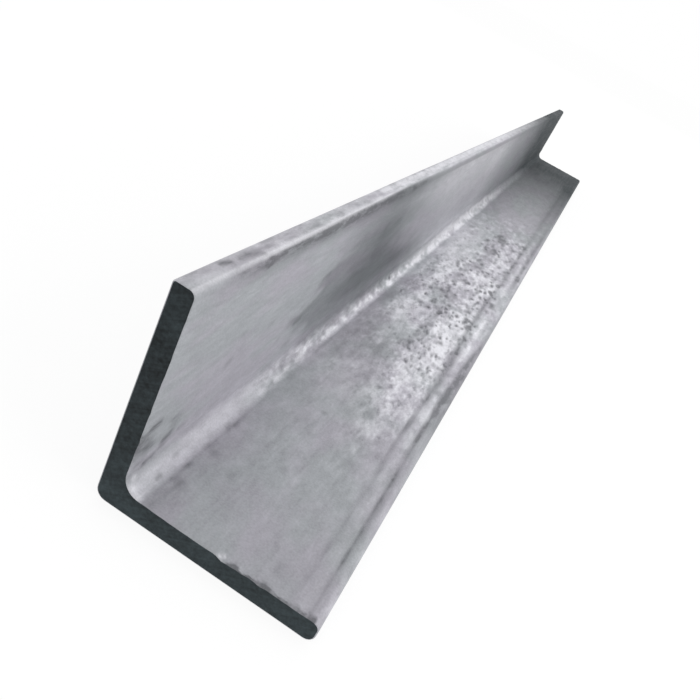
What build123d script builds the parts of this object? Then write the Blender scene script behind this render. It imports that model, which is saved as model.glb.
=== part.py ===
"""Equal-leg steel angle, hot rolled in one piece and sawn square to a stock length.

Frame: +Y runs along the bar, +Z is up and +X points from the heel to the toe of the
lower leg, which lies flat. The origin is at floor level, under the middle of the bar.
"""
import os

from build123d import *

# Driving dimensions of the rolled section, millimetres
lower_leg_width = 80.0
upright_leg_height = 80.0
leg_thickness = 8.0

# Corner radii that the rolls leave on the section, millimetres
root_radius = 6.5
heel_radius = 4.0
toe_inside_radius = 2.6
lower_toe_outside_radius = 3.2
upright_toe_outside_radius = 1.2

# Length of the cut bar, millimetres
bar_length = 1000.0


def rolled_outline():
    """The section's six corners in X and Z, each with the radius that rounds it."""
    heel_side = -lower_leg_width / 2
    toe_side = lower_leg_width / 2
    upright_inside = heel_side + leg_thickness
    return [
        ((heel_side, 0), heel_radius),
        ((toe_side, 0), lower_toe_outside_radius),
        ((toe_side, leg_thickness), toe_inside_radius),
        ((upright_inside, leg_thickness), root_radius),
        ((upright_inside, upright_leg_height), toe_inside_radius),
        ((heel_side, upright_leg_height), upright_toe_outside_radius),
    ]


def angle_bar():
    """The section drawn once and rolled out evenly to both sides of the origin."""
    corners, radii = zip(*rolled_outline())
    with BuildPart() as bar:
        with BuildSketch(Plane.XZ):
            with BuildLine():
                FilletPolyline(*corners, radius=radii, close=True)
            make_face()
        extrude(amount=bar_length / 2, both=True)
    return bar.part


os.makedirs("parts", exist_ok=True)
export_step(angle_bar(), "parts/angle_section.step")
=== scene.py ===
"""A sawn length of hot-rolled equal-leg steel angle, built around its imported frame."""

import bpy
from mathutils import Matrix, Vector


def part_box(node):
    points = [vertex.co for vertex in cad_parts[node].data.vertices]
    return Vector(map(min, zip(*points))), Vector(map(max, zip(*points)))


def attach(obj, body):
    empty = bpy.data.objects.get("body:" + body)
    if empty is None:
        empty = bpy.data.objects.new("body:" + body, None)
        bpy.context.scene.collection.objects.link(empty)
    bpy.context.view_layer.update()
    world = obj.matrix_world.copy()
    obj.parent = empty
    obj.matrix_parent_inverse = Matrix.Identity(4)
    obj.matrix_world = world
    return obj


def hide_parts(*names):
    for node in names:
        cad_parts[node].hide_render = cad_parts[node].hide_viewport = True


bl_info = {
    "name": "Rolled Steel Angle",
    "version": (1, 0, 0),
    "blender": (4, 5, 0),
    "location": "3D View > Sidebar > Steel Angle",
    "description": "Builds a sawn length of hot-rolled steel angle with its mill surface",
    "category": "Add Mesh",
}

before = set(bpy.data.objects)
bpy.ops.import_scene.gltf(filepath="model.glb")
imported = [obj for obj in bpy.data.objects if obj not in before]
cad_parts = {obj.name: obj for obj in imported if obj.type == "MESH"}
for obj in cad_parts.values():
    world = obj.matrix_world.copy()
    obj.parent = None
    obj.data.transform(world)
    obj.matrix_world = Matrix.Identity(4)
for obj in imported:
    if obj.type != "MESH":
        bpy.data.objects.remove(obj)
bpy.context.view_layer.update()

import math
import random
from functools import partial
from typing import NamedTuple

import bpy
import numpy as np
from bpy.props import FloatProperty, FloatVectorProperty, PointerProperty
from mathutils import Matrix, Vector, noise
from mathutils.geometry import delaunay_2d_cdt

MM = 0.001
NODE = "angle_section"
BODY = "root"
BAR_LOW, BAR_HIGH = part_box(NODE)
LEG = BAR_HIGH.x - BAR_LOW.x

# Camera: where it stands in metres, its focal length on a 36 mm sensor, and its turns in degrees
CAMERA_PLACE = (0.0342, -0.6576, 0.1717)
FOCAL_LENGTH = 38.04
HEADING, TILT_DOWN, ROLL = 8.87, 27.32, 27.79


def linear(hex_colour):
    """An sRGB hex value, such as #A6A6AB, as linear red, green and blue."""
    parts = [int(hex_colour[i:i + 2], 16) / 255 for i in (1, 3, 5)]
    return tuple(p / 12.92 if p <= 0.04045 else ((p + 0.055) / 1.055) ** 2.4 for p in parts)


def ramp(low, high, value):
    """0 at low, 1 at high and an S-curve between them; low may be the greater."""
    t = np.clip((value - low) / (high - low), 0.0, 1.0)
    return t * t * (3 - 2 * t)


# Sizes and colours that a user would change ----------------------------------------------


def length_setting(name, description, default_mm, least_mm=0.0):
    """A length setting, given in millimetres."""
    return FloatProperty(
        name=name, description=description, default=default_mm * MM, min=least_mm * MM, unit="LENGTH"
    )


def colour_setting(name, description, hex_colour):
    """A colour setting, given as sRGB hex."""
    return FloatVectorProperty(
        name=name, description=description, default=linear(hex_colour),
        size=3, min=0.0, max=1.0, subtype="COLOR",
    )


class SectionSizes(bpy.types.PropertyGroup):
    """The rolled section. Its leg widths and its length come from the frame."""

    thickness: length_setting("Leg thickness", "Thickness of both legs", 8.0, 1.0)
    root: length_setting("Root radius", "Radius of the inside corner", 6.5, 0.5)
    heel: length_setting("Heel radius", "Radius of the outside corner", 4.0, 0.5)
    toe_inside: length_setting("Toe radius inside", "Radius of both toes on their inner face", 2.6, 0.5)
    lower_toe_outside: length_setting(
        "Lower toe radius outside", "Radius of the lower toe underneath", 3.2, 0.5
    )
    upright_toe_outside: length_setting(
        "Upright toe radius outside", "Radius of the upright toe at the back", 1.2, 0.5
    )


class MillMarks(bpy.types.PropertyGroup):
    """Relief that the rolls, the scale and the saw leave on the bar."""

    wave_height: length_setting("Long waves", "Height of the long waves in each face", 0.08)
    hammer_height: length_setting("Dimples", "Height of the dimpled skin along the middle of the bar", 0.05)
    groove_depth: length_setting("Roll grooves", "Depth of the grooves along the lower toe", 0.22)
    bead_height: length_setting("Root beads", "Height of the beads along the root", 0.12)
    pit_depth: length_setting("Pits", "Depth of the deepest scale pits", 0.32)
    edge_break: length_setting("Edge break", "Rounding of the sawn edges", 0.40)
    burr_height: length_setting("Burr", "Height of the ragged lip at the sawn edges", 0.30)


class SteelColours(bpy.types.PropertyGroup):
    """Colours of the skin's finishes and of the sawn ends."""

    skin: colour_setting("Descaled skin", "Dull light grey with a trace of lavender", "#B2B2B7")
    # Rubbed metal, and the colour of the painted highlights and glints
    rubbed: colour_setting("Rubbed metal", "Bright metal on ridges, root and toes", "#DADADF")
    # Blue-grey: mill scale on the outside, and the colour of the painted shade at the far end and of the
    # painted dark reflection on the upright leg
    scale: colour_setting("Mill scale", "Blue-grey scale that is left on the skin", "#3E4447")
    pit: colour_setting("Pits", "Dark oxide in the pits and grooves", "#5C5D61")
    # Dark slate colour of the sawn ends
    sawn: colour_setting("Sawn end", "Dark slate oxide on the sawn ends", "#323A3D")


class StageSetup(bpy.types.PropertyGroup):
    """Floor and light."""

    floor: colour_setting("Floor", "Pale floor under the bar", "#E8E8E8")
    sky: FloatProperty(
        name="Sky", description="Strength of the even light from all round", default=0.80, min=0.0, max=2.0
    )
    far_panel: FloatProperty(
        name="Far panel", description="Power of the soft panel beyond the far end, in watts",
        default=8.0, min=0.0,
    )
    side_panel: FloatProperty(
        name="Side panel", description="Power of the soft panel beside the bar, in watts",
        default=9.0, min=0.0,
    )


class SteelAngleSettings(bpy.types.PropertyGroup):
    """All settings of the bar and its stage."""

    section: PointerProperty(type=SectionSizes, name="Section", description="Sizes of the rolled section")
    marks: PointerProperty(type=MillMarks, name="Mill marks", description="Relief of the surface")
    colours: PointerProperty(type=SteelColours, name="Colours", description="Colours of the steel")
    stage: PointerProperty(type=StageSetup, name="Stage", description="Floor and light")


# Section and grid ------------------------------------------------------------------------


class RimPoint(NamedTuple):
    """A point of the section's outline, its outward direction and the stretch it is on."""

    x: float
    z: float
    out_x: float
    out_z: float
    stretch: str


def flat_run(stretch, start, end, pitch):
    """Points from start up to, and not with, end; outward is to the right of the run."""
    run = Vector(end) - Vector(start)
    count = max(1, round(run.length / pitch))
    out = Vector((run.y, -run.x)).normalized()
    for i in range(count):
        place = Vector(start) + run * (i / count)
        yield RimPoint(place.x, place.y, out.x, out.y, stretch)


def round_run(stretch, centre, radius, first, last, count):
    """Points round a corner from one angle up to, and not with, another; a falling angle is a hollow."""
    side = 1 if last > first else -1
    for i in range(count):
        angle = math.radians(first + (last - first) * i / count)
        cos, sin = math.cos(angle), math.sin(angle)
        yield RimPoint(centre[0] + radius * cos, centre[1] + radius * sin, side * cos, side * sin, stretch)


def section_rim(sizes):
    """The outline from the heel along the underside, round the inside and down the back."""
    left, right, top = BAR_LOW.x, BAR_HIGH.x, BAR_HIGH.z
    inner_x, inner_z = left + sizes.thickness, sizes.thickness
    heel, root, toe = sizes.heel, sizes.root, sizes.toe_inside
    under, back = sizes.lower_toe_outside, sizes.upright_toe_outside
    coarse, middle, fine = 5.0 * MM, 1.6 * MM, 1.05 * MM
    return [
        *round_run("heel", (left + heel, heel), heel, 180, 270, 6),
        *flat_run("underside", (left + heel, 0), (right - under, 0), coarse),
        *round_run("lower_toe", (right - under, under), under, 270, 360, 4),
        *flat_run("lower_toe", (right, under), (right, inner_z - toe), fine),
        *round_run("lower_toe", (right - toe, inner_z - toe), toe, 0, 90, 5),
        *flat_run("lower_inside", (right - toe, inner_z), (inner_x + root, inner_z), fine),
        *round_run("root", (inner_x + root, inner_z + root), root, 270, 180, 10),
        *flat_run("upright_inside", (inner_x, inner_z + root), (inner_x, top - toe), middle),
        *round_run("upright_toe", (inner_x - toe, top - toe), toe, 0, 90, 5),
        *flat_run("upright_toe", (inner_x - toe, top), (left + back, top), fine),
        *round_run("upright_toe", (left + back, top - back), back, 90, 180, 3),
        *flat_run("back", (left, top - back), (left, heel), coarse),
    ]


def row_places(low, high):
    """Places of the rows along the bar: closest at the sawn edges, close where the skin is dimpled."""
    edge = [d * MM for d in (0.0, 0.12, 0.28, 0.5, 0.9, 1.6)]
    places = [low + d for d in edge]
    while places[-1] < high - 3 * MM:
        run = places[-1] - low
        places.append(places[-1] + (1.25 + 2.75 * ramp(0.43, 0.60, run)) * MM)
    far_edge = [high - d for d in reversed(edge)]
    return np.array([p for p in places if p < far_edge[0] - 0.5 * MM] + far_edge)


class SkinGrid:
    """The skin as rows along the bar by columns round the section."""

    def __init__(self, rim, rows):
        self.rim, self.rows = rim, rows
        self.x = np.array([p.x for p in rim])
        self.z = np.array([p.z for p in rim])
        self.out_x = np.array([p.out_x for p in rim])
        self.out_z = np.array([p.out_z for p in rim])
        loop = np.array([(p.x, p.z) for p in rim] + [(rim[0].x, rim[0].z)])
        self.girth = np.concatenate([[0.0], np.cumsum(np.hypot(*np.diff(loop, axis=0).T))])
        self.run = (rows - rows[0])[:, None]
        self.across = (self.x - self.x.min())[None, :]
        self.height = self.z[None, :]
        self.end_gap = np.minimum(rows - rows[0], rows[-1] - rows)[:, None]
        root_low, root_high = self.girth_at("root", 0), self.girth_at("root", 1)
        self.climb = np.clip((self.girth[None, :-1] - root_low) / (root_high - root_low), 0, 1)

    def on(self, *stretches):
        """1 for the columns on these stretches and 0 for the rest."""
        return np.array([float(p.stretch in stretches) for p in self.rim])[None, :]

    def lumps(self, along, across, seed):
        """Smooth noise, about -1 to 1; its lumps are so many millimetres long along the bar and across it."""
        along, across = along * MM, across * MM
        shift = Vector((13.7 * seed, 5.3 * seed, 9.1 * seed))
        return np.array([
            [noise.noise(Vector((x / across, y / along, z / across)) + shift) for x, z in zip(self.x, self.z)]
            for y in self.rows
        ])

    def stamp(self, target, run, column, radius_along, radius_across, height):
        """Adds a smooth round bump, or a dent if height is below 0, centred on a place of the skin."""
        rows = np.flatnonzero(np.abs(self.run[:, 0] - run) < radius_along)
        columns = np.flatnonzero(np.abs(self.girth[:-1] - column) < radius_across)
        if len(rows) and len(columns):
            far_y = (self.run[rows] - run) / radius_along
            far_s = (self.girth[columns] - column)[None, :] / radius_across
            share = np.clip(1 - far_y ** 2 - far_s ** 2, 0, 1)
            target[np.ix_(rows, columns)] += height * share * share

    def smear(self, start, end, width):
        """1 along a line on the skin, falling off over its width; start and end are run and girth."""
        step_run, step_girth = end[0] - start[0], end[1] - start[1]
        far_run, far_girth = self.run - start[0], self.girth[None, :-1] - start[1]
        share = (far_run * step_run + far_girth * step_girth) / (step_run ** 2 + step_girth ** 2 + 1e-12)
        share = np.clip(share, 0, 1)
        gap = np.hypot(far_run - share * step_run, far_girth - share * step_girth)
        return np.exp(-((gap / width) ** 2))

    def girth_near(self, across, height):
        """Distance round the section of the outline's point nearest to that place, in leg widths."""
        gaps = np.hypot(self.across[0] / LEG - across, self.height[0] / LEG - height)
        return self.girth[int(np.argmin(gaps))]

    def girth_at(self, stretch, share):
        """Distance round the section of a place on a stretch, 0 at its start and 1 at its end."""
        columns = [i for i, p in enumerate(self.rim) if p.stretch == stretch]
        return self.girth[columns[0]] + share * (self.girth[columns[-1] + 1] - self.girth[columns[0]])


# Relief, wear and painted light ------------------------------------------------------------

# Places in this part are in leg widths: run is along the bar from its near end, across and height are
# places on the section. Shares run from 0 to 1 and amounts say how strong a mark is.

# Scuffs and dark specks, most of them on the root and the upright leg near the sawn end: run, across,
# height, amount, and the length along the bar and the width in millimetres
SCUFFS = (
    (0.13, 0.100, 0.178, 1.0, 5.0, 1.1),
    (0.06, 0.100, 0.205, 0.5, 3.0, 1.3),
    (0.16, 0.153, 0.106, 0.5, 2.5, 0.9),
    (0.31, 0.133, 0.115, 0.4, 2.5, 0.9),
    (0.22, 0.100, 0.245, 0.9, 3.0, 1.6),
    (0.24, 0.100, 0.300, 0.4, 3.0, 1.2),
    (0.24, 0.100, 0.341, 0.4, 2.5, 1.2),
    (0.33, 0.100, 0.232, 0.4, 4.0, 1.0),
    (0.07, 0.100, 0.321, 0.5, 2.5, 1.2),
    (0.21, 0.100, 0.205, 0.5, 2.5, 1.2),
    (0.04, 0.100, 0.270, 0.4, 2.0, 2.0),
    (0.08, 0.100, 0.382, 0.9, 4.0, 1.3),
    (0.56, 0.100, 0.465, 0.4, 2.0, 1.6),
    (1.30, 0.100, 0.270, 0.4, 5.0, 1.4),
    (1.32, 0.100, 0.400, 0.5, 5.0, 1.8),
    (1.49, 0.100, 0.615, 0.5, 6.0, 2.0),
    (0.48, 0.195, 0.100, 0.5, 3.0, 1.0),
    (0.68, 0.187, 0.100, 0.5, 3.0, 1.0),
    (3.95, 0.884, 0.100, 1.1, 7.0, 2.2),
    (5.00, 0.958, 0.100, 1.1, 9.0, 1.6),
    (3.24, 0.122, 0.126, 1.0, 2.0, 1.2),
)

# Dark streaks on the upright toe's top: from and to along, from and to across, amount, and width in
# millimetres
TOP_STREAKS = (
    (0.04, 0.12, 0.016, 0.018, 0.4, 0.8),
    (0.26, 0.32, 0.034, 0.037, 0.9, 1.1),
    (0.38, 0.44, 0.040, 0.044, 0.9, 1.1),
    (0.45, 0.53, 0.046, 0.070, 0.9, 1.0),
    (0.60, 0.70, 0.018, 0.020, 0.4, 0.9),
    (1.00, 1.10, 0.050, 0.056, 0.4, 0.9),
)

# Where scale pits lie on the lower leg's inner face: from and to along, from and to across, how many,
# least and greatest radius in millimetres, and share of the full depth
PIT_FIELDS = (
    (1.85, 2.50, 0.52, 0.84, 34, 0.7, 1.2, 0.60),
    (2.20, 3.40, 0.50, 0.84, 130, 0.8, 1.4, 1.15),
    (2.40, 3.60, 0.22, 0.50, 45, 0.8, 1.4, 0.45),
    (3.20, 4.70, 0.36, 0.85, 120, 1.2, 2.2, 1.15),
    (4.40, 6.20, 0.42, 0.85, 100, 1.5, 2.8, 0.95),
    (3.50, 6.40, 0.22, 0.42, 50, 1.2, 2.2, 0.45),
)

# Patches of painted highlight (above 0) and painted shade (below 0) on the lower leg's inner face: run,
# across, reach along, reach across, and amount
PATCHES = (
    (2.75, 0.76, 0.75, 0.13, 0.66),
    (3.00, 0.39, 0.36, 0.06, 1.05),
    (3.34, 0.29, 0.33, 0.08, -0.80),
    (3.46, 0.53, 0.24, 0.07, -1.05),
    (4.05, 0.37, 0.40, 0.07, 0.50),
    (4.65, 0.44, 0.25, 0.05, 0.45),
    (2.62, 0.52, 0.60, 0.08, -0.62),
    (3.00, 0.60, 0.20, 0.05, -0.30),
    (4.45, 0.66, 0.22, 0.14, 0.40),
    (4.30, 0.80, 0.28, 0.05, 0.60),
    (2.00, 0.48, 0.60, 0.08, -0.25),
    (2.60, 0.26, 0.38, 0.08, 0.50),
    (5.00, 0.28, 1.20, 0.10, 0.52),
    (6.50, 0.20, 0.80, 0.07, 0.50),
    (5.35, 0.70, 0.35, 0.08, 0.40),
    (6.10, 0.56, 0.80, 0.11, -1.20),
    (4.30, 0.30, 0.14, 0.05, -0.50),
    (3.00, 0.48, 0.16, 0.04, -0.34),
    (3.00, 0.80, 0.18, 0.04, 0.75),
    (2.25, 0.80, 0.35, 0.05, -0.20),
    (4.00, 0.61, 0.26, 0.04, -0.34),
    (4.95, 0.60, 0.34, 0.06, -0.60),
)

# Faint stains along the lower toe, laid out in the same way
TOE_STAINS = (
    (1.55, 0.972, 0.40, 0.012, 0.18),
    (2.50, 0.946, 0.25, 0.012, 0.18),
    (4.05, 0.922, 0.30, 0.022, 0.17),
    (5.00, 0.895, 0.50, 0.015, 0.22),
)

# Chips that the saw broke out of the lower leg's near edge: across, depth and width in millimetres
SAW_CHIPS = ((0.555, 0.7, 1.5), (0.600, 0.45, 1.8), (0.655, 0.30, 1.6), (0.735, 0.40, 1.4))

# Painted glints on nicks in the root's near edge: millimetres along, across and height
END_NICKS = ((1.8, 0.134, 0.115), (3.4, 0.108, 0.140), (1.2, 0.168, 0.102))


def bell(value, middle, width):
    """1 at the middle, falling off on both sides over the width."""
    return np.exp(-(((value - middle) / width) ** 2))


def patch_at(grid, run, middle_run, middle_across, reach_run, reach_across):
    """A soft round patch, 1 at its middle."""
    return bell(run, middle_run, reach_run) * bell(grid.across / LEG, middle_across, reach_across)


def dimple_zone(grid):
    """How strongly the lower leg's inner face is dimpled and pitted, from 1.5 to 8 leg widths in."""
    across = grid.across / LEG
    run = grid.run / LEG + 0.16 * grid.lumps(16, 9, 21)
    strength = ramp(1.2, 2.4, run + 0.5 * ramp(0.5, 0.7, across)) * ramp(7.8, 5.6, run)
    strength = strength * ramp(0.17, 0.27, across) * (1 - 0.55 * ramp(0.83, 0.87, across))
    strength = strength * (1 - 0.5 * ramp(0.52, 0.42, across) * ramp(3.3, 2.6, run))
    strength = strength * (1 - 0.6 * ramp(0.55, 0.40, across) * ramp(4.0, 5.4, run))
    strength = strength * (1 - 0.25 * ramp(3.6, 5.0, run))
    return np.clip(strength * grid.on("lower_inside"), 0, 1)


def stamp_pits(grid, target, depth):
    """Adds the scale pits to a field of the skin; the same pits each time."""
    draw = random.Random(7)
    low, reach = grid.girth_near(1.0, 0.06), LEG
    for from_run, to_run, from_across, to_across, count, least, greatest, share in PIT_FIELDS:
        for _ in range(count):
            run = draw.uniform(from_run, to_run) * LEG
            column = low + (1.0 - draw.uniform(from_across, to_across)) * reach
            radius = draw.uniform(least, greatest) * MM
            height = depth * share * draw.uniform(0.35, 1.0)
            grid.stamp(target, run, column, radius * draw.uniform(1.6, 3.4), radius, height)
    return target


def rubbed_patches(grid):
    """Painted highlight on the lower leg's inner face, from 1.5 to 7 leg widths in, and painted shade where
    it goes below 0.
    """
    across = grid.across / LEG
    run = grid.run / LEG + 0.14 * grid.lumps(16, 9, 21)
    start = 2.6 - 1.35 * ramp(0.55, 0.70, across) + 1.5 * ramp(0.30, 0.20, across)
    bright = 0.34 + 0.22 * grid.lumps(30, 11, 22)
    for *place, amount in PATCHES:
        bright = bright + amount * patch_at(grid, run, *place)
    bright = bright * ramp(start - 0.3, start + 0.4, run) * ramp(7.0, 5.4, run)
    bright = bright + 0.42 * patch_at(grid, run, 1.62, 0.46, 0.22, 0.15)
    bright = bright + 0.30 * patch_at(grid, run, 1.28, 0.67, 0.25, 0.10)
    from_groove = across - 0.03 * ramp(3.9, 4.3, run)
    return bright * (1 - 0.85 * ramp(0.795, 0.845, from_groove)) * grid.on("lower_inside")


def root_beads(grid):
    """Small beads, 10 mm apart, in a narrow line along the root's lower half, and finer specks round them,
    both in relief and in colour; in colour the line is a painted highlight with brighter and duller specks;
    below 0 is duller than the skin."""
    run = grid.run / LEG
    wander = 0.31 + 0.10 * grid.lumps(60, 900, 47) - 0.10 * ramp(1.8, 1.2, run)
    wander = wander + 0.13 * ramp(4.2, 5.6, run)
    width = 0.09 + 0.03 * ramp(1.6, 2.6, run) + 0.22 * ramp(3.9, 5.4, run)
    line = bell(grid.climb, wander, width) * ramp(0.95, 1.25, run) * ramp(8.8, 6.2, run)
    beads = 0.22 + 3.0 * grid.lumps(10, 3.5, 41) + 1.9 * grid.lumps(5.5, 2.5, 45)
    line = line * np.clip(beads + 0.45 * ramp(2.2, 3.2, run), -0.3, 1.7)
    specks = np.clip(2.4 * grid.lumps(5.0, 3.6, 49), -0.7, 1.0) * bell(grid.climb, 0.45, 0.30)
    specks = specks * ramp(0.9, 1.3, run) * ramp(4.2, 3.2, run)
    return (line + 0.42 * specks) * grid.on("root")


def scuffs(grid):
    """How strongly each place of the skin is scuffed."""
    total = 0
    for run, across, height, amount, length, width in SCUFFS:
        girth = grid.girth_near(across, height)
        start, end = run * LEG - length / 2 * MM, run * LEG + length / 2 * MM
        total = total + amount * grid.smear((start, girth), (end, girth + 0.3 * width * MM), width * MM)
    return total


def toe_grooves(grid):
    """The two grooves that the rolls press along the lower toe, as shares of their full depth."""
    run = grid.run / LEG
    from_toe = (LEG - grid.across) / MM + 0.5 * grid.lumps(60, 500, 30)
    inner_face = grid.on("lower_inside", "lower_toe") * (grid.height > 0.05 * LEG)
    whole = ramp(1.8, 2.3, run) * ramp(4.3, 3.8, run)
    broken = np.clip(0.80 + (0.75 - 0.50 * whole) * grid.lumps(13, 200, 31), 0.15, 1.2)
    outer_line = 4.7 - 2.1 * ramp(2.1, 2.5, run) - 0.8 * ramp(2.8, 3.0, run)
    outer = bell(from_toe, outer_line, 0.85 + 0.6 * ramp(1.2, 2.2, run))
    outer = outer * (0.60 + 0.55 * ramp(0.15, 0.5, run)) * ramp(3.9, 2.6, run)
    outer = outer + 0.9 * bell(from_toe, 4.0, 1.6) * ramp(4.5, 4.9, run) * ramp(8.0, 6.4, run)
    inner_line = 11.4 - 0.5 * bell(run, 2.3, 0.4) + 1.4 * ramp(2.72, 2.95, run)
    inner_line = inner_line + 0.6 * ramp(3.0, 3.2, run) - 1.2 * ramp(4.0, 4.5, run)
    inner_width = 0.9 + 0.9 * ramp(1.6, 2.4, run) + 0.8 * bell(run, 2.4, 0.35) - 0.4 * ramp(2.7, 3.0, run)
    inner = bell(from_toe, inner_line, inner_width) * (1 - 0.4 * bell(run, 3.0, 0.12))
    inner = inner * (0.40 + 0.60 * ramp(0.7, 2.0, run)) * (0.35 + 0.65 * ramp(7.0, 5.4, run))
    inner = inner * (1 - 0.45 * bell(run, 4.5, 0.5))
    return np.clip(outer + inner, 0, 1) * broken * inner_face


def skin_relief(grid, marks):
    """How far the skin stands out from the plain section, in metres."""
    relief = marks.wave_height * grid.lumps(140, 60, 1)
    relief += 0.35 * marks.wave_height * grid.lumps(22, 14, 2)
    dimpled = dimple_zone(grid)
    relief += marks.hammer_height * dimpled * (grid.lumps(16, 9, 3) + 0.6 * grid.lumps(7, 4.5, 4))
    relief -= marks.groove_depth * toe_grooves(grid)
    stamp_pits(grid, relief, -marks.pit_depth)
    relief += marks.bead_height * root_beads(grid)
    draw = random.Random(8)
    for _ in range(220):
        run = draw.uniform(0.5, 6.0) * LEG
        column = grid.girth_at("root", draw.uniform(0.05, 0.55))
        radius = draw.uniform(1.3, 2.2) * MM
        height = 0.5 * marks.bead_height * draw.uniform(-0.6, 1.0) * float(ramp(0.3, 1.8, run / LEG))
        grid.stamp(relief, run, column, radius * draw.uniform(2.0, 4.0), radius, height)
    relief -= 0.16 * MM * scuffs(grid)
    # Two knocks in the upright toe
    grid.stamp(relief, 0.56 * LEG, grid.girth_at("upright_toe", 0.14), 2.8 * MM, 2.0 * MM, -0.6 * MM)
    grid.stamp(relief, 0.36 * LEG, grid.girth_near(0.037, 1.0), 3.4 * MM, 1.6 * MM, -0.25 * MM)
    for across, depth, width in SAW_CHIPS:
        chip = (0.0, grid.girth_near(across, 0.1))
        relief -= depth * MM * grid.smear(chip, chip, width * MM)
    sawn = ramp(1.5 * MM, 0.0, grid.end_gap)
    ragged = np.clip(grid.lumps(4.0, 3.2, 9), 0, 1) * grid.on("lower_inside", "root", "upright_inside")
    relief += marks.burr_height * sawn * ragged
    rounding = np.clip(marks.edge_break - grid.end_gap, 0, None)
    relief -= marks.edge_break - np.sqrt(marks.edge_break ** 2 - rounding ** 2)
    outside = grid.on("heel", "underside", "back")
    return np.where(outside > 0, np.minimum(relief - 0.5 * marks.wave_height, 0), relief)


def scale_left(grid):
    """Dark cover: painted shade over the far end of the bar, a painted dark reflection in a patch on the
    upright leg, and a thin film of mill scale in long streaks on the outside."""
    run, across, height = grid.run / LEG, grid.across / LEG, grid.height / LEG
    outside = grid.on("heel", "underside", "back")
    shifted = run + 0.08 * grid.lumps(40, 22, 11) + 0.13 * grid.lumps(16, 6, 12)
    # The patch on the upright leg and root is a painted dark reflection, from about 1.2 to 4.5 leg widths in
    near_edge = 1.18 + 0.24 * ramp(0.45, 0.51, height) + 0.06 * grid.lumps(7, 4, 17)
    near_edge = near_edge + 0.41 * ramp(0.44, 0.20, height)
    far_edge = 4.5 - 0.9 * ramp(0.2, 0.6, height)
    fade = 0.17 + 0.37 * ramp(0.63, 0.72, height)
    patch = 0.58 * ramp(near_edge - 0.07, near_edge + fade, shifted)
    patch = patch + 0.42 * ramp(near_edge + 0.3, near_edge + 1.1, shifted)
    patch = patch * ramp(far_edge, far_edge - 1.3, shifted) * ramp(0.45, 0.95, grid.climb)
    patch = patch * (1 - 0.34 * ramp(0.72, 0.86, height)) * (1 - 0.30 * ramp(0.34, 0.20, height))
    patch = patch * grid.on("root", "upright_inside", "upright_toe") * ramp(0.07, 0.09, across)
    # Painted shade over the far end of the bar, from about 6 leg widths in, lighter on the outside
    far_start = 6.1 - 0.8 * ramp(0.74, 0.88, across)
    far_cover = np.clip((shifted - far_start) / (5.4 - 1.3 * grid.climb), 0, 1)
    film = 0.16 + 0.16 * grid.lumps(170, 11, 15) + 0.10 * grid.lumps(60, 30, 16)
    return 0.73 * patch + far_cover * (0.98 - 0.48 * outside) + outside * np.clip(film, 0, 0.5)


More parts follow.
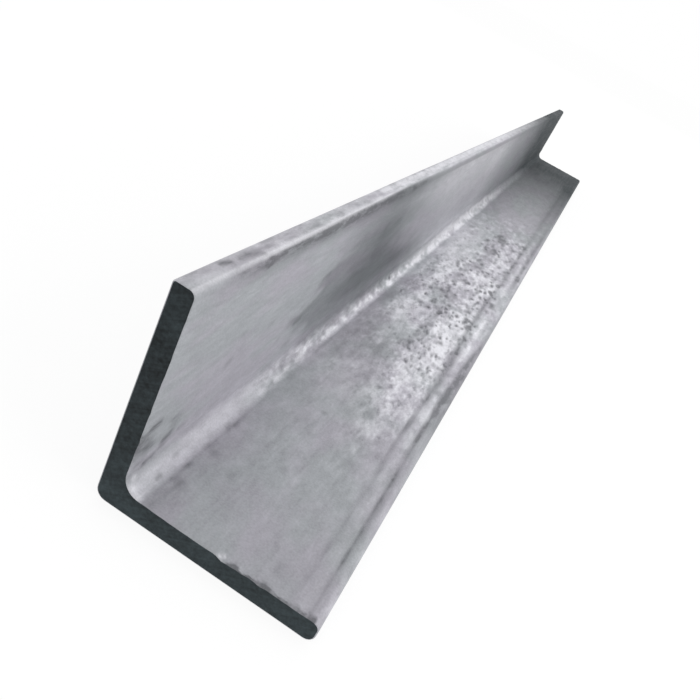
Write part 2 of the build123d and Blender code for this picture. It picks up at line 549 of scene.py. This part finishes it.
def rubbed_bright(grid):
    """Painted highlights on the root's lower half, the top of the upright toe and the lower toe, painted
    glints at the sawn edge, and the lower leg's painted highlight patches; brighter rubbed metal up the
    upright leg.
    """
    run, across, height = grid.run / LEG, grid.across / LEG, grid.height / LEG
    # A painted highlight along the root: a soft band near the sawn end and a line further along, with the
    # beads
    near_band = ramp(-0.02, 0.04, grid.climb) * ramp(1.0, 0.5, grid.climb) * ramp(2.0, 1.0, run)
    far_line = 0.30 + 0.14 * ramp(4.2, 5.6, run)
    far_band = bell(grid.climb, far_line, 0.18 + 0.34 * ramp(3.0, 4.6, run))
    far_band = far_band * ramp(1.4, 2.4, run) * ramp(8.8, 6.2, run)
    crest = 0.34 * near_band + (0.32 + 0.14 * ramp(3.4, 5.0, run)) * far_band
    crest = crest * grid.on("root") + root_beads(grid)

    # A painted highlight on the top of the upright toe, with a bright line at its inner corner
    top = grid.on("upright_toe") * (height > 0.97)
    streaked = np.clip(0.7 + 1.0 * grid.lumps(14, 2.5, 42), 0, 1.3)
    inner_line = (0.3 + 0.7 * ramp(0.48, 0.52, run)) * ramp(2.4, 1.7, run)
    inner_line = inner_line * bell(across, 0.080, 0.009)
    outer_line = 2.6 * ramp(1.8, 3.0, run) * ramp(0.07, 0.03, across)
    outer_line = outer_line + ramp(0.020, 0.006, across)
    broad = 0.25 + 0.24 * ramp(0.6, 1.6, run) + 0.14 * ramp(2.1, 2.7, run)
    broad = broad * streaked * ramp(0.092, 0.080, across)
    toe_top = top * (broad + 2.2 * inner_line + 0.5 * outer_line)

    # A painted highlight along the lower toe's ridge and edge
    lower = grid.on("lower_inside", "lower_toe") * (height > 0.05)
    ridge = ramp(2.4, 2.8, run) * (1 - 0.62 * ramp(3.5, 3.8, run)) * ramp(7, 5, run)
    ridge = (0.25 + 0.90 * ridge) * bell(across, 0.904, 0.019)
    edge = 0.22 + 0.25 * ramp(0.4, 0.1, run) + 0.3 * ramp(3, 5, run)
    edge = edge * ramp(0.970, 0.985, across)
    whole = ramp(2.2, 2.6, run) * ramp(4.0, 3.5, run)
    patchy = np.clip(0.70 + 0.10 * whole + (1.1 - 0.6 * whole) * grid.lumps(12, 3, 43), 0, 1.2)
    toe_lines = lower * (0.90 * ridge + edge) * patchy

    starts = 3.0 - 0.5 * ramp(0.6, 0.85, height)
    worn = grid.on("upright_inside") * ramp(starts, starts + 1.6, run) * ramp(7.4, 5.8, run)
    uneven = 0.26 * grid.lumps(100, 20, 44) + 0.14 * grid.lumps(50, 10, 48)
    worn = worn * (0.60 + 0.15 * ramp(0.65, 0.85, height) + uneven)
    near_root = grid.on("root", "upright_inside") * ramp(0.28, 0.20, height) * bell(run, 5.4, 1.3)
    near_root = near_root * ramp(0.25, 0.6, grid.climb)
    # Painted glints where the saw chip and the nicks catch the light
    chip_start = (0.8 * MM, grid.girth_near(0.545, 0.1))
    chip_end = (1.6 * MM, grid.girth_near(0.560, 0.1))
    chip = grid.smear(chip_start, chip_end, 0.6 * MM)
    for along, *place in END_NICKS:
        spot = (along * MM, grid.girth_near(*place))
        chip = chip + 1.3 * grid.smear(spot, spot, 0.9 * MM)
    return crest + toe_top + toe_lines + worn + 0.75 * near_root + chip + rubbed_patches(grid)


def grime_held(grid):
    """Dark oxide and dirt held in the toe grooves, in scuffs and in pits, darker beside the root near the
    sawn end, and painted shade under the upright toe and over the lower leg's far end.
    """
    run, across, height = grid.run / LEG, grid.across / LEG, grid.height / LEG
    toe_corner = 0.083 - 0.003 * ramp(1.2, 1.5, run)
    # Painted shade under the upright toe's rounding
    under_toe = bell(height, 0.982, 0.030) + 0.30 * bell(height, 0.935, 0.030)
    under_toe = under_toe * ramp(toe_corner, toe_corner + 0.009, across) * (height > 0.8)
    under_toe = under_toe * ramp(0.05, 0.5, run) * (0.35 + 0.65 * ramp(3.3, 2.6, run))
    under_toe = under_toe * (1 + 0.50 * bell(run, 1.3, 0.4))
    lower = grid.on("lower_inside")
    spots = np.clip(1.6 * grid.lumps(6, 4, 51), 0, 1)
    beside_root = lower * ramp(0.33, 0.18, across) * ramp(2.0, 0.1, run) * (0.30 + 0.7 * spots)
    grime = 0.90 * toe_grooves(grid) + 0.85 * under_toe + 0.80 * beside_root
    grime = grime + 0.95 * scuffs(grid) + stamp_pits(grid, np.zeros((len(grid.rows), len(grid.rim))), 1.0)
    grime = grime + 0.16 * ramp(0.8, 0.1, run) * lower * ramp(0.98, 0.92, across)
    toe_side = grid.on("lower_inside", "lower_toe") * ramp(0.92, 0.94, across) * (height > 0.05)
    grime = grime + 0.60 * toe_side * bell(run, 2.1, 0.55)
    for *place, amount in TOE_STAINS:
        stain = patch_at(grid, run, *place) * (height > 0.05)
        grime = grime + amount * stain * grid.on("lower_inside", "lower_toe")
    near_end = ramp(0.42, 0.0, run) * ramp(0.50, 0.30, height) * grid.on("upright_inside")
    near_end = near_end * ramp(0.19, 0.27, height)
    grime = grime + near_end * np.clip(0.20 + 1.3 * grid.lumps(7, 3.5, 52), 0, 1)
    root_end = ramp(0.45, 0.85, grid.climb) * ramp(0.38, 0.10, run)
    grime = grime + 0.30 * grid.on("root") * root_end
    # Painted shade over the lower leg's far end
    grime = grime + 0.14 * ramp(8.8, 10.5, run) * lower
    reach = np.clip(0.018 + 0.045 * grid.lumps(900, 3.5, 54), 0.001, 0.04)
    sawn_edge = ramp(reach, 0.3 * reach, run) * ramp(0.57, 0.60, across) * lower
    grime = grime + 1.2 * sawn_edge
    draw = random.Random(53)
    for _ in range(40):
        stretch, to_run = draw.choice((("lower_inside", 2.3), ("lower_inside", 2.3), ("upright_inside", 1.3)))
        place = (draw.uniform(0.05, to_run) * LEG, grid.girth_at(stretch, draw.uniform(0.02, 0.98)))
        far = (place[0] + draw.uniform(0, 4) * MM, place[1] + draw.uniform(-1, 1) * MM)
        grime = grime + draw.uniform(0.10, 0.30) * grid.smear(place, far, draw.uniform(0.8, 1.5) * MM)
    nick = (0.555 * LEG, grid.girth_near(0.098, 0.968))
    grime = grime + grid.smear(nick, nick, 2.0 * MM)
    for from_run, to_run, from_across, to_across, amount, width in TOP_STREAKS:
        start = (from_run * LEG, grid.girth_near(from_across, 1.0))
        end = (to_run * LEG, grid.girth_near(to_across, 1.0))
        grime = grime + amount * grid.smear(start, end, width * MM)
    return grime


def skin_wear(grid):
    """Shares, 0 to 1, of what covers the skin: the dark cover (painted shade, a painted dark reflection and
    mill scale), painted highlights and rubbed metal (below 0 is duller than the skin, as painted shade),
    pits, grime and painted shade, and a dry matt skin."""
    run, across = grid.run / LEG, grid.across / LEG
    outside = grid.on("heel", "underside", "back")
    lower = grid.on("lower_inside", "lower_toe")
    shifted = run + 0.20 * grid.lumps(45, 25, 13)
    dry_end = 2.2 + lower * (0.7 - 1.0 * ramp(0.45, 0.70, across))
    matt = ramp(dry_end, dry_end - 1.1, shifted) * (1 - outside) + 0.8 * outside
    beaten = np.clip(0.30 + 0.22 * grid.lumps(150, 28, 18), 0.08, 0.6)
    pitted = dimple_zone(grid) + 0.08 * (1 - outside) + beaten * outside
    speckled = bell(grid.climb, 0.45, 0.40) * ramp(0.9, 1.2, run) * ramp(4.2, 3.2, run)
    pitted = pitted + 0.55 * speckled * grid.on("root")
    toe_top = grid.on("upright_toe") * (grid.height / LEG > 0.97) * ramp(0.074, 0.062, across)
    pitted = pitted + 0.42 * toe_top * ramp(0.3, 0.6, run) * ramp(4.0, 3.0, run)
    shares = {
        "scale": scale_left(grid),
        "rubbed": rubbed_bright(grid),
        "pitted": pitted,
        "grime": grime_held(grid),
        "matt": matt,
    }
    least = {"rubbed": -0.5}
    return {name: np.clip(share + 0 * run, least.get(name, 0), 1) for name, share in shares.items()}


# Mesh ------------------------------------------------------------------------------------


def end_face(rim_points, pitch, thickness):
    """A sawn end as points and triangles inside its rim; the rim's own points come first."""
    rim = [Vector(p) for p in rim_points]
    count = len(rim)
    edges = [(i, (i + 1) % count) for i in range(count)]
    span = np.arange(0.5 * pitch, LEG, pitch)
    low = BAR_LOW.x
    places = [(a, b) for a in span for b in span if min(a, b) < thickness - 1.4 * MM]
    places = [(a, b) for a, b in places if max(a, b) < LEG - 2 * MM and min(a, b) > 1 * MM and a + b > 4 * MM]
    inside = [Vector((low + a, b)) for a, b in places]
    inside_rim_only, merge_distance = 1, 1e-7
    points, _, faces, _, _, _ = delaunay_2d_cdt(rim + inside, edges, [], inside_rim_only, merge_distance)
    return [(p.x, p.y) for p in points], [tuple(f) for f in faces]


def bar_mesh(grid, relief, wear, thickness):
    """The bar's mesh: a skin of quads, a sawn face at each end, their wear values and a flat layout."""
    rows, columns = relief.shape
    x = grid.x[None, :] + grid.out_x[None, :] * relief
    z = np.maximum(grid.z[None, :] + grid.out_z[None, :] * relief, 0.0)
    y = np.repeat(grid.rows[:, None], columns, axis=1)
    points = np.stack([x, y, z], -1).reshape(-1, 3)

    column = np.arange(columns)
    after = (column + 1) % columns
    faces = []
    for row in range(rows - 1):
        low, high = row * columns, (row + 1) * columns
        faces.extend(zip(low + column, low + after, high + after, high + column))
    faces = [tuple(int(i) for i in f) for f in faces]
    skin_faces = len(faces)

    points = [tuple(p) for p in points.tolist()]
    cap_places = {}
    for row, facing in ((0, -1), (rows - 1, 1)):
        rim = [(points[row * columns + i][0], points[row * columns + i][2]) for i in range(columns)]
        places, triangles = end_face(rim, 2.6 * MM, thickness)
        index = [row * columns + i for i in range(columns)]
        for px, pz in places[columns:]:
            index.append(len(points))
            points.append((px, float(grid.rows[row]), pz))
        for a, b, c in triangles:
            (ax, az), (bx, bz), (cx, cz) = places[a], places[b], places[c]
            turn = (bx - ax) * (cz - az) - (bz - az) * (cx - ax)
            order = (a, b, c) if turn * facing < 0 else (a, c, b)
            cap_places[len(faces)] = facing
            faces.append(tuple(index[i] for i in order))

    mesh = bpy.data.meshes.new("rolled_angle")
    mesh.from_pydata(points, [], faces)
    skin = rows * columns
    for name, values in wear.items():
        attribute = mesh.attributes.new(name, "FLOAT", "POINT")
        padded = np.zeros(len(points), np.float32)
        padded[:skin] = values.reshape(-1)
        attribute.data.foreach_set("value", padded)

    finish = np.zeros(len(faces), np.int32)
    finish[skin_faces:] = 1
    mesh.polygons.foreach_set("material_index", finish)
    mesh.polygons.foreach_set("use_smooth", np.ones(len(faces), bool))
    ends = np.zeros(len(mesh.edges) * 2, np.int32)
    mesh.edges.foreach_get("vertices", ends)
    ends = ends.reshape(-1, 2)
    last = (rows - 1) * columns
    near_rim = (ends < columns).all(1)
    far_rim = ((ends >= last) & (ends < last + columns)).all(1)
    mesh.edges.foreach_set("use_edge_sharp", near_rim | far_rim)
    lay_flat(mesh, grid, points, faces, skin_faces, cap_places, columns)
    return mesh


def lay_flat(mesh, grid, points, faces, skin_faces, cap_places, columns):
    """Flat layout for baking: the skin in two lengths above each other, the sawn faces beside them."""
    gap = 4 * MM
    half = float(grid.rows[0] + grid.rows[-1]) / 2
    middle = int(np.searchsorted(grid.rows, half))
    length = float(max(grid.rows[middle] - grid.rows[0], grid.rows[-1] - grid.rows[middle]))
    girth = float(grid.girth[-1])
    side = max(length + LEG + 3 * gap, 2 * girth + 3 * gap)
    layout = []
    for number in range(skin_faces):
        row, column = divmod(number, columns)
        upper = row >= middle
        start = float(grid.rows[middle]) if upper else float(grid.rows[0])
        rise = gap + (girth + gap if upper else 0)
        near, far = float(grid.rows[row]) - start + gap, float(grid.rows[row + 1]) - start + gap
        low, high = rise + float(grid.girth[column]), rise + float(grid.girth[column + 1])
        layout += [(near, low), (near, high), (far, high), (far, low)]
    for number in range(skin_faces, len(faces)):
        rise = gap if cap_places[number] < 0 else gap + girth + gap
        for i in faces[number]:
            layout.append((length + 2 * gap + points[i][0] - BAR_LOW.x, rise + points[i][2]))
    flat = mesh.uv_layers.new(name="OFBake")
    flat.uv.foreach_set("vector", (np.array(layout, np.float32) / side).ravel())


# Materials -------------------------------------------------------------------------------

# In a Map Range node, inputs 1 to 4 are from low, from high, to low and to high. In a Mix node, input 0
# is the share of the second colour, and 6 and 7 are the two colours.


def add_node(tree, kind, inputs=None, **settings):
    """Adds a node with its settings; inputs maps a socket's name or number to a value, an output, or a
    node, which stands for its first output."""
    made = tree.nodes.new(kind)
    for name, value in settings.items():
        setattr(made, name, value)
    for key, value in (inputs or {}).items():
        if isinstance(value, bpy.types.Node):
            value = value.outputs[0]
        if isinstance(value, bpy.types.NodeSocket):
            tree.links.new(value, made.inputs[key])
        else:
            made.inputs[key].default_value = value
    return made


def scale_for(size_mm):
    """The scale that makes a pattern's marks so many millimetres long or wide."""
    return 1 / (size_mm * MM)


def rolled_skin(colours):
    """Hot-rolled mild steel, pickled: the acid takes the blue scale off and leaves a dull, slightly lavender
    grey. To the eye it is a soft sheen, dry near the sawn end; its colour also carries painted highlights on
    root and toes, and painted shade."""
    material = bpy.data.materials.new("hot_rolled_steel_pickled")
    material.use_nodes = True
    tree = material.node_tree
    shader = tree.nodes["Principled BSDF"]
    add = partial(add_node, tree)
    place = add("ShaderNodeTexCoord").outputs["Object"]
    scale, rubbed, pitted, grime, matt = (
        add("ShaderNodeAttribute", attribute_name=name).outputs["Fac"]
        for name in ("scale", "rubbed", "pitted", "grime", "matt")
    )

    # Rolling draws every mark out along the bar, to twice its width and more
    drawn_out = add("ShaderNodeMapping", {"Vector": place, "Scale": (1.0, 0.42, 1.7)})
    # Clouds of pickling stain, 22 mm wide, and blotches from 8 mm wide down
    clouds = add("ShaderNodeTexNoise", {"Vector": drawn_out, "Scale": scale_for(22), "Detail": 4.0})
    blotches = add("ShaderNodeTexNoise", {
        "Vector": drawn_out, "Scale": scale_for(8), "Detail": 3.0, "Roughness": 0.66,
    })
    # Mottling left by the acid, from 4 mm wide down to 0.5 mm
    mottle = add("ShaderNodeTexNoise", {
        "Vector": drawn_out, "Scale": scale_for(3.8), "Detail": 3.0, "Roughness": 0.62,
    })
    # Drag lines from the rolls, 1.4 mm wide and 50 mm long
    dragged = add("ShaderNodeMapping", {"Vector": place, "Scale": [scale_for(mm) for mm in (1.4, 50, 1.4)]})
    streaks = add("ShaderNodeTexNoise", {"Vector": dragged, "Scale": 1.0, "Detail": 2.0})
    # Grain of the pickled skin: 0.2 mm on the real thing, drawn at 0.7 mm so that it shows
    grain = add("ShaderNodeTexNoise", {"Vector": place, "Scale": scale_for(0.7), "Detail": 3.0})

    warm = add("ShaderNodeMapRange", {"Value": clouds, 1: 0.42, 2: 0.58, 3: 0.0, 4: 1.0})
    tint = add("ShaderNodeMix", {
        0: warm, 6: (0.968, 1.005, 0.992, 1), 7: (1.012, 0.987, 1.022, 1),
    }, data_type="RGBA")
    skin = add("ShaderNodeMix", {
        0: 1.0, 6: (*colours.skin, 1), 7: tint.outputs[2],
    }, data_type="RGBA", blend_type="MULTIPLY")

    # Painted highlights and rubbed metal are whole on the ridges, root and toes, and broken up where the skin
    # is dimpled:
    # above 0 the mix goes to the bright colour, below 0 to dull hollows and painted shade
    fine_part = add("ShaderNodeMath", {0: mottle, 1: 0.42}, operation="MULTIPLY")
    beaten = add("ShaderNodeMath", {0: blotches, 1: 0.55, 2: fine_part}, operation="MULTIPLY_ADD")
    ridge = add("ShaderNodeMapRange", {"Value": beaten, 1: 0.38, 2: 0.62, 3: -0.68, 4: 0.68})
    rubbed_all = add("ShaderNodeMath", {0: pitted, 1: ridge, 2: rubbed}, operation="MULTIPLY_ADD")
    rubbed_share = add("ShaderNodeMath", {0: rubbed_all, 1: 0.0}, operation="ADD", use_clamp=True)
    hollow = add("ShaderNodeMath", {0: rubbed_all, 1: -0.7}, operation="MULTIPLY", use_clamp=True)
    bright = add("ShaderNodeMix", {
        0: rubbed_share, 6: skin.outputs[2], 7: (*colours.rubbed, 1),
    }, data_type="RGBA")

    # Fine scale pits, 1 to 2 mm across and 3.6 mm apart, with ragged rims
    pit_cells = add("ShaderNodeTexVoronoi", {"Vector": drawn_out, "Scale": scale_for(3.6), "Randomness": 1.0})
    ragged = add("ShaderNodeMath", {0: mottle, 1: 1.8, 2: pit_cells}, operation="MULTIPLY_ADD")
    pit_here = add("ShaderNodeMapRange", {
        "Value": ragged, 1: 1.26, 2: 0.80, 3: 0.0, 4: 0.52,
    }, interpolation_type="SMOOTHSTEP")
    pit_mask = add("ShaderNodeMath", {0: pit_here, 1: pitted}, operation="MULTIPLY")
    hollows = add("ShaderNodeMath", {0: pit_mask, 1: hollow}, operation="MAXIMUM")
    # Grime, painted shade and the oxide in the large pits lie thick and thin, in patches 2 mm wide
    thickness = add("ShaderNodeMapRange", {"Value": mottle, 1: 0.36, 2: 0.60, 3: 0.45, 4: 1.25})
    grime_here = add("ShaderNodeMath", {0: grime, 1: thickness}, operation="MULTIPLY")
    dark = add("ShaderNodeMath", {0: hollows, 1: grime_here}, operation="ADD", use_clamp=True)
    dark_share = add("ShaderNodeMath", {0: dark, 1: 0.80}, operation="MULTIPLY")
    spotted = add("ShaderNodeMix", {
        0: dark_share, 6: bright.outputs[2], 7: (*colours.pit, 1),
    }, data_type="RGBA")

    # Dark cover in soft-edged sheets, thinner along the drag lines: painted shade at the far end, a painted
    # dark reflection on the upright leg and mill scale on the outside
    cover_clouds = add("ShaderNodeMath", {0: clouds, 1: 0.36, 2: 0.72}, operation="MULTIPLY_ADD")
    cover_wave = add("ShaderNodeMath", {0: streaks, 1: 0.20, 2: cover_clouds}, operation="MULTIPLY_ADD")
    cover = add("ShaderNodeMath", {0: scale, 1: cover_wave}, operation="MULTIPLY", use_clamp=True)
    covered = add("ShaderNodeMix", {
        0: cover, 6: spotted.outputs[2], 7: (*colours.scale, 1),
    }, data_type="RGBA")

    # Light and dark of the streaks, clouds, blotches and mottling, at half strength from 24 to 64 mm up
    level = add("ShaderNodeSeparateXYZ", {"Vector": place}).outputs["Z"]
    above = add("ShaderNodeMath", {0: level, 1: 44 * MM}, operation="SUBTRACT")
    from_middle = add("ShaderNodeMath", {0: above}, operation="ABSOLUTE")
    strength = add("ShaderNodeMapRange", {"Value": from_middle, 1: 20 * MM, 2: 34 * MM, 3: 0.5, 4: 1.0})
    shade = -0.53
    for texture, depth in ((streaks, 0.14), (clouds, 0.18), (blotches, 0.28), (mottle, 0.46)):
        shade = add("ShaderNodeMath", {0: texture, 1: depth, 2: shade}, operation="MULTIPLY_ADD")
    shade = add("ShaderNodeMath", {0: shade, 1: strength, 2: 0.80}, operation="MULTIPLY_ADD")
    with_grain = add("ShaderNodeMath", {0: grain, 1: 0.40, 2: shade}, operation="MULTIPLY_ADD")
    final = add("ShaderNodeVectorMath", {0: covered.outputs[2], 1: with_grain}, operation="MULTIPLY")
    tree.links.new(final.outputs[0], shader.inputs["Base Color"])

    # Dry skin and the dark cover scatter light widely; clean and rubbed metal shine softly
    clean = add("ShaderNodeMapRange", {"Value": matt, 1: 0.0, 2: 1.0, 3: 0.80, 4: 0.20})
    bare = add("ShaderNodeMath", {0: 1.0, 1: cover}, operation="SUBTRACT")
    metal = add("ShaderNodeMath", {0: clean, 1: bare}, operation="MULTIPLY")
    tree.links.new(metal.outputs[0], shader.inputs["Metallic"])
    dry = add("ShaderNodeMapRange", {"Value": metal, 1: 0.0, 2: 0.80, 3: 0.72, 4: 0.34})
    rough = add("ShaderNodeMath", {0: blotches, 1: 0.16, 2: dry}, operation="MULTIPLY_ADD")
    tree.links.new(rough.outputs[0], shader.inputs["Roughness"])
    shader.inputs["Specular Tint"].default_value = (0.60, 0.60, 0.61, 1)
    shader.inputs["Specular IOR Level"].default_value = 0.25

    # Height in millimetres: grain, drag lines and pits
    grain_height = add("ShaderNodeMath", {0: grain, 1: 0.05}, operation="MULTIPLY")
    with_streaks = add("ShaderNodeMath", {0: streaks, 1: 0.04, 2: grain_height}, operation="MULTIPLY_ADD")
    with_pits = add("ShaderNodeMath", {0: pit_mask, 1: -0.16, 2: with_streaks}, operation="MULTIPLY_ADD")
    bump = add("ShaderNodeBump", {"Height": with_pits, "Distance": MM, "Strength": 1.0})
    tree.links.new(bump.outputs["Normal"], shader.inputs["Normal"])
    return material


def sawn_end(colours):
    """Sawn steel in a dark slate colour that hardly shines, with faint saw lines and darker specks."""
    material = bpy.data.materials.new("sawn_steel_dark")
    material.use_nodes = True
    tree = material.node_tree
    shader = tree.nodes["Principled BSDF"]
    add = partial(add_node, tree)
    place = add("ShaderNodeTexCoord").outputs["Object"]
    stain = add("ShaderNodeTexNoise", {"Vector": place, "Scale": scale_for(9), "Detail": 4.0})
    # Saw lines across the section at a slant, 60 mm long: 0.3 mm apart on the real thing, drawn at 0.9 mm
    # so that they show
    turned = add("ShaderNodeMapping", {"Vector": place, "Rotation": (0, math.radians(28), 0)})
    slant = add("ShaderNodeMapping", {"Vector": turned, "Scale": [scale_for(mm) for mm in (60, 60, 0.9)]})
    lines = add("ShaderNodeTexNoise", {"Vector": slant, "Scale": 1.0, "Detail": 2.0})
    grit = add("ShaderNodeTexNoise", {"Vector": place, "Scale": scale_for(1.2), "Detail": 3.0})
    # Darker up the upright leg
    level = add("ShaderNodeSeparateXYZ", {"Vector": place}).outputs["Z"]
    film = add("ShaderNodeMapRange", {"Value": level, 1: 4 * MM, 2: 24 * MM, 3: 0.54, 4: 0.05})
    shade = add("ShaderNodeMath", {0: stain, 1: 1.2, 2: film}, operation="MULTIPLY_ADD")
    shade_lines = add("ShaderNodeMath", {0: lines, 1: 0.8, 2: -0.4}, operation="MULTIPLY_ADD")
    shade_grit = add("ShaderNodeMath", {0: grit, 1: 1.3, 2: -0.65}, operation="MULTIPLY_ADD")
    both = add("ShaderNodeMath", {0: shade, 1: shade_lines}, operation="ADD")
    total = add("ShaderNodeMath", {0: both, 1: shade_grit}, operation="ADD")
    colour = add("ShaderNodeVectorMath", {0: tuple(colours.sawn), 1: total}, operation="MULTIPLY")
    tree.links.new(colour.outputs[0], shader.inputs["Base Color"])
    shader.inputs["Metallic"].default_value = 0.0
    shader.inputs["Roughness"].default_value = 0.68
    shader.inputs["Specular IOR Level"].default_value = 0.2
    height = add("ShaderNodeMath", {0: lines, 1: 0.05}, operation="MULTIPLY")
    height_grit = add("ShaderNodeMath", {0: grit, 1: 0.10, 2: height}, operation="MULTIPLY_ADD")
    bump = add("ShaderNodeBump", {"Height": height_grit, "Distance": MM, "Strength": 1.0})
    tree.links.new(bump.outputs["Normal"], shader.inputs["Normal"])
    return material


def seen_directly(tree):
    """1 for rays from the camera, or off metal or through glass, and 0 for those that light the bar."""
    rays = add_node(tree, "ShaderNodeLightPath").outputs
    seen = add_node(tree, "ShaderNodeMath", {
        0: rays["Is Camera Ray"], 1: rays["Is Glossy Ray"],
    }, operation="ADD")
    return add_node(tree, "ShaderNodeMath", {
        0: seen, 1: rays["Is Transmission Ray"],
    }, operation="ADD", use_clamp=True)


def studio_floor(colour):
    """Matt painted board: white where nothing shades it, with the bar's soft shadow kept."""
    material = bpy.data.materials.new("studio_board_painted")
    material.use_nodes = True
    tree = material.node_tree
    shader = tree.nodes["Principled BSDF"]
    shader.inputs["Base Color"].default_value = (*colour, 1)
    shader.inputs["Roughness"].default_value = 0.9
    shader.inputs["Specular IOR Level"].default_value = 0.0
    white = add_node(tree, "ShaderNodeEmission", {"Color": (1, 1, 1, 1), "Strength": 1.08})
    share = add_node(tree, "ShaderNodeMath", {0: seen_directly(tree), 1: 0.80}, operation="MULTIPLY")
    mixed = add_node(tree, "ShaderNodeMixShader", {0: share, 1: shader, 2: white})
    tree.links.new(mixed.outputs["Shader"], tree.nodes["Material Output"].inputs["Surface"])
    return material


def even_sky(strength):
    """White all round: strength 1 to the camera and to reflections, the set strength as light."""
    world = bpy.data.worlds.new("even_sky")
    world.use_nodes = True
    tree = world.node_tree
    light = tree.nodes["Background"]
    light.inputs["Color"].default_value = (1, 1, 1, 1)
    light.inputs["Strength"].default_value = strength
    seen = add_node(tree, "ShaderNodeBackground", {"Color": (1, 1, 1, 1), "Strength": 1.0})
    mixed = add_node(tree, "ShaderNodeMixShader", {0: seen_directly(tree), 1: light, 2: seen})
    tree.links.new(mixed.outputs["Shader"], tree.nodes["World Output"].inputs["Surface"])
    return world


# Operators -------------------------------------------------------------------------------


class STEELANGLE_OT_bar(bpy.types.Operator):
    """Build the rolled bar with its mill surface and sawn ends"""

    bl_idname = "steelangle.bar"
    bl_label = "Rolled bar"

    def execute(self, context):
        settings = context.scene.steel_angle
        grid = SkinGrid(section_rim(settings.section), row_places(BAR_LOW.y, BAR_HIGH.y))
        relief = skin_relief(grid, settings.marks)
        mesh = bar_mesh(grid, relief, skin_wear(grid), settings.section.thickness)
        mesh.materials.append(rolled_skin(settings.colours))
        mesh.materials.append(sawn_end(settings.colours))
        bar = bpy.data.objects.new("rolled_angle", mesh)
        context.scene.collection.objects.link(bar)
        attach(bar, BODY)
        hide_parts(NODE)
        return {"FINISHED"}


class STEELANGLE_OT_stage(bpy.types.Operator):
    """Lay the floor, hang the lights and place the camera"""

    bl_idname = "steelangle.stage"
    bl_label = "Stage"

    def execute(self, context):
        settings = context.scene.steel_angle.stage
        scene = context.scene
        reach = 30.0
        corners = [(x * reach, y * reach, 0) for x, y in ((-1, -1), (1, -1), (1, 1), (-1, 1))]
        mesh = bpy.data.meshes.new("floor")
        mesh.from_pydata(corners, [], [(0, 1, 2, 3)])
        mesh.materials.append(studio_floor(settings.floor))
        floor = bpy.data.objects.new("floor", mesh)
        scene.collection.objects.link(floor)
        scene.world = even_sky(settings.sky)

        for name, place, size, power in (
            ("far_panel", (0.25, 3.4, 1.55), (2.2, 0.8), settings.far_panel),
            ("side_panel", (1.7, -0.4, 1.0), (1.4, 1.4), settings.side_panel),
        ):
            lamp = bpy.data.lights.new(name, "AREA")
            lamp.shape = "RECTANGLE"
            lamp.size, lamp.size_y = size
            lamp.energy = power
            panel = bpy.data.objects.new(name, lamp)
            panel.location = place
            panel.rotation_euler = Vector(place).to_track_quat("Z", "Y").to_euler()
            panel.visible_camera = False
            scene.collection.objects.link(panel)

        lens = bpy.data.cameras.new("camera")
        lens.sensor_width = 36.0
        lens.lens = FOCAL_LENGTH
        lens.clip_start = 0.01
        camera = bpy.data.objects.new("camera", lens)
        turn = Matrix.Rotation(math.radians(HEADING), 4, "Z")
        turn = turn @ Matrix.Rotation(math.radians(90 - TILT_DOWN), 4, "X")
        turn = turn @ Matrix.Rotation(math.radians(ROLL), 4, "Z")
        camera.matrix_world = Matrix.Translation(CAMERA_PLACE) @ turn
        scene.collection.objects.link(camera)
        scene.camera = camera
        scene.view_settings.view_transform = "Standard"
        return {"FINISHED"}


class STEELANGLE_PT_panel(bpy.types.Panel):
    """Sizes, colours and buttons of the rolled angle"""

    bl_idname = "STEELANGLE_PT_panel"
    bl_label = "Steel Angle"
    bl_space_type = "VIEW_3D"
    bl_region_type = "UI"
    bl_category = "Steel Angle"

    def draw(self, context):
        settings = context.scene.steel_angle
        for name in ("section", "marks", "colours", "stage"):
            group = getattr(settings, name)
            box = self.layout.box()
            box.label(text=settings.bl_rna.properties[name].name)
            for key in group.bl_rna.properties.keys():
                if key not in ("rna_type", "name"):
                    box.prop(group, key)
        self.layout.operator(STEELANGLE_OT_bar.bl_idname)
        self.layout.operator(STEELANGLE_OT_stage.bl_idname)


CLASSES = (
    SectionSizes,
    MillMarks,
    SteelColours,
    StageSetup,
    SteelAngleSettings,
    STEELANGLE_OT_bar,
    STEELANGLE_OT_stage,
    STEELANGLE_PT_panel,
)


def register():
    """Registers the classes and the scene's settings."""
    for cls in CLASSES:
        bpy.utils.register_class(cls)
    bpy.types.Scene.steel_angle = PointerProperty(
        type=SteelAngleSettings, name="Steel angle", description="Settings of the rolled angle"
    )


def unregister():
    """Takes the settings and the classes away again."""
    del bpy.types.Scene.steel_angle
    for cls in reversed(CLASSES):
        bpy.utils.unregister_class(cls)


def main():
    """Builds the bar and its stage."""
    register()
    bpy.ops.steelangle.bar()
    bpy.ops.steelangle.stage()


if __name__ == "__main__":
    main()
